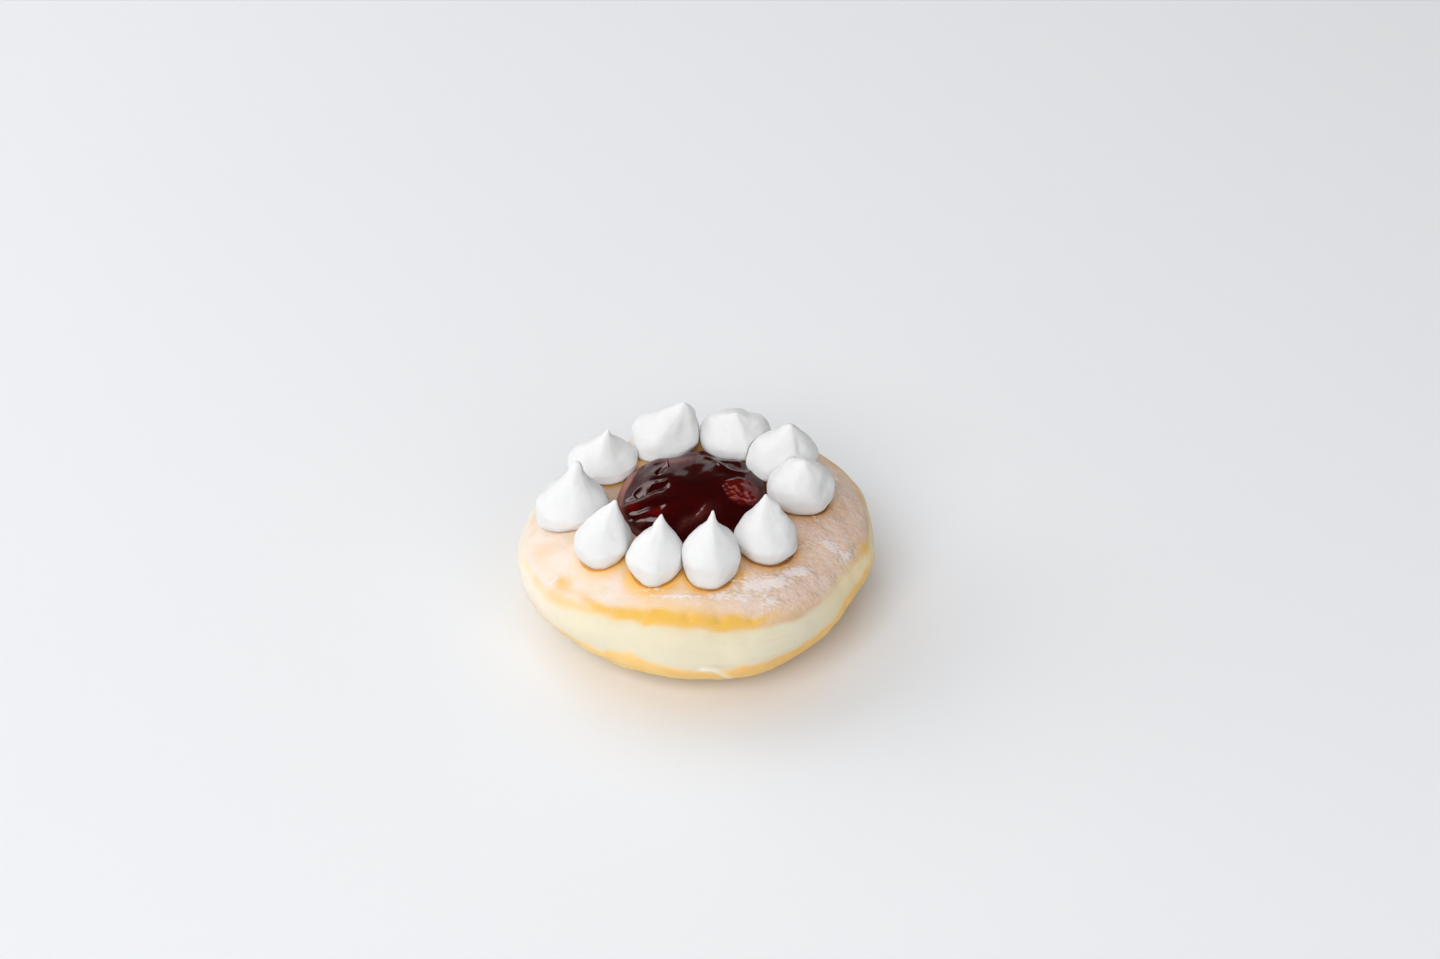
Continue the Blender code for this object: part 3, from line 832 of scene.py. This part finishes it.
# Sugar along the crease, and a painted highlight at the dent in the sugar's white. Rows: path, width,
# strength.
SUGAR_AND_HIGHLIGHT_LINES = ((CREASE, 0.45, 0.8), (DENT_SHINE, 0.7, 1.0))
SUGAR_MOST = 1.2
# Relief of lines, edges and layers.
FLAP_WIDTH, FLAP_RISE = 0.75, 0.28
CREASE_WIDTH, CREASE_RISE = 0.6, 0.15
GROOVE_WIDTH, GROOVE_DEPTH = 0.5, 0.12
FILM_RISE, FOOT_RISE = 0.12, 0.2
RELIEF_FADE = (0.5, 5.0)                  # from the cream and from the resting spot
# Softness of the edges between the collar, its foot and the film.
COLLAR_SOFTNESS, LIT_PEACH_SOFTNESS = 0.7, 1.6
FOOT_SOFTNESS = 0.9
FOOT_UNDER_LIT_PEACH = 0.4                    # how much of the foot's colour the peach takes away
FILM_EDGE = (-1.3, 1.1)

# What the cream and the jam leave on the crust, with painted light and shade. A dollop meets the dough at a
# share of its widest radius. The amber, partly a painted glow, falls away from there, starts further out
# inside the ring, and fills the gaps where a second dollop is near. Stains, with painted shade where they
# are darkest in the gaps, fall away from the jam.
CREAM_FOOT = 0.76
GLOW_WIDTH, GLOW_POWER, GLOW_GAIN = 2.4, 1.3, 1.35
INNER_GLOW, INNER_REACH, INNER_FADE = 1.8, 26.0, 4.0
GAP_NEAR, GAP_WIDTH, GAP_FADE = 2.6, 3.4, 2.4
STAIN_REACH, STAIN_FADE = 21.5, 3.0
CONTACT_SHADOW_LEAST = 0.4


def dough_rings():
    """A flat spot, a superellipse flank up to the widest line and the dished dome."""
    around, spot_rings, low_rings, high_rings, crown_rings = 440, 5, 70, 112, 24
    crown = 1.15                          # radians, where the rings change their spacing
    direction = np.linspace(0, 2 * math.pi, around, endpoint=False)
    low = np.linspace(0, math.pi / 2, low_rings)[:, None]
    climb = np.linspace(0, crown, high_rings)[1:]
    high = np.concatenate([climb, np.linspace(crown, math.pi / 2, crown_rings)[1:]])[:, None]
    reach = plan_radius(direction)
    swell = FLAT_SHARE + (1 - FLAT_SHARE) * np.sin(low) ** (2 / BOTTOM_ROUNDNESS)
    disc = FLAT_SHARE * np.linspace(0, 1, spot_rings)[:-1, None]
    shares = np.concatenate([disc, swell, np.maximum(0.0, np.cos(high)) ** (2 / TOP_ROUNDNESS)])
    x = shares * reach * np.cos(direction) - MIDDLE_X
    y = shares * reach * np.sin(direction) - MIDDLE_Y
    flank = WIDEST_Z * (1 - np.maximum(0.0, np.cos(low)) ** (2 / BOTTOM_ROUNDNESS))
    z_low = np.concatenate([np.zeros_like(disc), flank]) * np.ones(around)
    z = np.concatenate([z_low, dough_top(x[len(z_low):], y[len(z_low):])])
    return np.stack([x, y, z], axis=-1)


def cream_marks(x, y, above, dollops):
    """Fields of the crust above the widest line: the amber with its painted glow, the jam's stains with
    painted shade in the gaps, how strong the painted contact shadow is, and the distance from the nearest
    dollop's foot."""
    apart = np.sort([np.hypot(x - d.x, y - d.y) - CREAM_FOOT * d.widest for d in dollops], axis=0)
    ring_reach = np.hypot(x - RING_X, y - RING_Y)
    ring_degrees = np.degrees(np.arctan2(y - RING_Y, x - RING_X))
    inner = INNER_GLOW * ease(INNER_REACH - ring_reach, 0, INNER_FADE)
    outside = np.maximum(0.0, apart[0] - inner)
    beside = np.maximum(0.0, apart[1] - inner - GAP_NEAR)
    # The amber is partly a painted glow round the cream and in the gaps.
    glow = round_values(AMBER_AND_GLOW, ring_degrees)
    round_cream = glow * np.exp(-((outside / GLOW_WIDTH) ** GLOW_POWER))
    in_gaps = np.exp(-outside / GAP_WIDTH - beside / GAP_FADE)
    # The stains carry painted shade where the gaps between the dollops are deep.
    stained_and_shaded = np.exp(-np.maximum(0.0, ring_reach - STAIN_REACH) / STAIN_FADE)
    return {
        "amber_and_glow": np.clip(GLOW_GAIN * np.maximum(round_cream, in_gaps), 0, 1) * above,
        "stained_and_shaded": stained_and_shaded * round_values(STAINS_AND_GAP_SHADE, ring_degrees) * above,
        # How strong the painted contact shadow is, following the glow.
        "contact_shadow_strength": (CONTACT_SHADOW_LEAST + (1 - CONTACT_SHADOW_LEAST) * glow) * above,
        "cream_near": apart[0],
    }


def dough_piece(dollops, material):
    """The dough with its fine relief, and the fields that its material reads."""
    rings = dough_rings()
    x, y, z = np.moveaxis(rings, -1, 0)
    above = z > WIDEST_Z
    degrees = np.degrees(np.arctan2(y, x))
    # The paler peach on the left is painted light; it also softens the collar's edge and thins the golden
    # foot.
    lit_peach = round_values(LIT_PEACH_COLLAR, degrees)
    golden = round_values(GOLDEN_COLLAR, degrees)

    collar_top = round_values(COLLAR_TOP, degrees) + uneven(rings, (0.25, 6.0, 12))
    collar_foot = round_values(COLLAR_FOOT, degrees, blur=2) + uneven(rings, (0.3, 5.0, 13))
    softness = COLLAR_SOFTNESS + LIT_PEACH_SOFTNESS * lit_peach + golden
    collar = 1 - ease(z, collar_top - softness, collar_top + softness)
    foot = 1 - ease(z, collar_foot - FOOT_SOFTNESS, collar_foot + FOOT_SOFTNESS)
    foot = foot * (1 - FOOT_UNDER_LIT_PEACH * lit_peach)
    rim_middle, rim_half, rim_strength = (
        round_values([(row[0], row[column]) for row in GOLDEN_RIM], degrees) for column in (1, 2, 3)
    )
    off_rim = (z + uneven(rings, (0.22, 7.0, 14)) - rim_middle) / rim_half
    core, halo = np.exp(-(np.abs(off_rim) ** 3)), np.exp(-((off_rim / 2) ** 2))
    gold = rim_strength * (core + RIM_HALO * (halo - core))
    for place, size, strength in GOLD_SPOTS:
        gold += strength * near_point(rings, place, size)
    film_foot = round_values(FILM_FOOT, degrees) + uneven(rings, (0.3, 5.0, 11))
    film = ease(z - film_foot, *FILM_EDGE)
    golden_film = soft_patches(GOLDEN_PATCHES, x, y) * above
    sugar_and_highlight = soft_patches(SUGAR_PATCHES, x, y) * above
    # The dent's line is a painted highlight in the sugar's white.
    for path, width, strength in SUGAR_AND_HIGHLIGHT_LINES:
        sugar_and_highlight += strength * near_line(rings, path, width)
    flap = near_line(rings, FLAP, FLAP_WIDTH)
    marks = cream_marks(x, y, above, dollops)

    relief = uneven(rings, (0.30, 24.0, 1), (0.10, 8.0, 2)) * ease(marks["cream_near"], *RELIEF_FADE)
    relief += FILM_RISE * (1 - collar) + FOOT_RISE * foot + FLAP_RISE * flap
    relief += film * uneven(rings, (0.03, 2.2, 3), (0.05, 5.0, 4))
    relief += CREASE_RISE * near_line(rings, CREASE, CREASE_WIDTH)
    for place, size, depth in DENTS:
        relief -= depth * near_point(rings, place, size)
    for line in FAINT_LINES:
        relief -= GROOVE_DEPTH * near_line(rings, line, GROOVE_WIDTH)
    relief *= ease(z, *RELIEF_FADE)
    rings = rings + relief[..., None] * normals(rings)
    fields = {
        "collar": collar, "foot": foot, "gold": np.clip(gold, 0, 1), "film": film, "flap": flap,
        "browned_and_shaded": round_values(BROWNING_AND_SHADE, degrees), "golden_collar": golden, "lit_peach_collar": lit_peach,
        "sugar_and_highlight": np.clip(sugar_and_highlight, 0, SUGAR_MOST), "golden_film": np.clip(golden_film, 0, 1), **marks,
    }
    piece = skin("fried_doughnut", rings, material, fields)
    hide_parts("doughnut")
    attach(piece, "root")


# Stage, light and camera

FLOOR_HALF = 4.0                          # metres
CAMERA_PLACE = (0.0062, -0.56393, 0.47911)
CAMERA_DOWN = 37.877                      # degrees below the horizon
LENS = 70.0
SENSOR = 36.0
NEAREST = 0.01                            # metres


def stage():
    """A wide pale floor at the height that the doughnut rests on."""
    half = FLOOR_HALF
    corners = [(-half, -half, 0), (half, -half, 0), (half, half, 0), (-half, half, 0)]
    mesh = bpy.data.meshes.new("floor")
    mesh.from_pydata(corners, [], [(0, 1, 2, 3)])
    mesh.materials.append(floor_finish())
    floor = bpy.data.objects.new("floor", mesh)
    bpy.context.scene.collection.objects.link(floor)


def soft_light(name, place, width, height, power):
    """A white area light that shines from its place towards the doughnut."""
    light = bpy.data.lights.new(name, "AREA")
    light.shape = "RECTANGLE"
    light.size, light.size_y = width, height
    light.energy = power
    lamp = bpy.data.objects.new(name, light)
    bpy.context.scene.collection.objects.link(lamp)
    back = np.array(place) - np.array(LIGHT_AIM)
    lamp.location = place
    flat = math.hypot(back[0], back[1])
    lamp.rotation_euler = (math.atan2(flat, back[2]), 0.0, math.atan2(back[0], -back[1]))
    return lamp


# Soft panels round the doughnut: name, direction and height above the horizon in degrees, width and
# height in metres, watts.
SOFT_LIGHTS = (
    ("front", 247, 42, 1.5, 1.3, 32.0),
    ("right_front", 302, 35, 1.5, 1.3, 10.0),
    ("right_back", 30, 40, 1.5, 1.3, 2.8),
    ("back", 90, 55, 1.5, 1.3, 5.6),
    ("back_left", 133, 42, 1.5, 1.3, 11.8),
    ("left_low", 170, 26, 1.5, 1.3, 13.0),
    ("front_low", 220, 12, 1.8, 0.7, 3.6),
    ("top", 270, 86, 1.5, 1.3, 5.0),
)
# Pale cards that only the gloss of the jam and the cream shows.
REFLECTIONS = (
    ("window", 121, 30, 0.6, 0.54, 4.6),
    ("wall", 120, 11, 3.8, 0.75, 7.5),
)
LIGHT_DISTANCE = 2.2
LIGHT_AIM = (0.0, 0.0, 0.02)
SURROUND_COLOUR = (0.93, 0.96, 1.0, 1.0)
SURROUND_STRENGTH = 0.06


def studio():
    """Soft panels on every side, the cards that only gloss shows, and a faint even surround."""
    for rows, reflected in ((SOFT_LIGHTS, False), (REFLECTIONS, True)):
        for name, azimuth, elevation, width, height, power in rows:
            around, up = math.radians(azimuth), math.radians(elevation)
            flat = LIGHT_DISTANCE * math.cos(up)
            place = (flat * math.cos(around), flat * math.sin(around), LIGHT_DISTANCE * math.sin(up))
            lamp = soft_light(name, place, width, height, power)
            lamp.visible_glossy, lamp.visible_diffuse = reflected, not reflected
    world = bpy.data.worlds.new("surround")
    world.use_nodes = True
    background = world.node_tree.nodes["Background"]
    background.inputs["Color"].default_value = SURROUND_COLOUR
    background.inputs["Strength"].default_value = SURROUND_STRENGTH
    bpy.context.scene.world = world
    bpy.context.scene.view_settings.view_transform = "Standard"


def camera():
    """A level camera that looks down on the doughnut from the front."""
    data = bpy.data.cameras.new("camera")
    data.lens = LENS
    data.sensor_width = SENSOR
    data.clip_start = NEAREST
    view = bpy.data.objects.new("camera", data)
    view.location = CAMERA_PLACE
    view.rotation_euler = (math.pi / 2 - math.radians(CAMERA_DOWN), 0.0, 0.0)
    bpy.context.scene.collection.objects.link(view)
    bpy.context.scene.camera = view


def build():
    """Makes the pieces, then the floor, the lights and the camera."""
    dollops = cream_pieces(cream_finish())
    jam_piece(dollops, jam_finish())
    dough_piece(dollops, dough_finish())
    stage()
    studio()
    camera()


build()
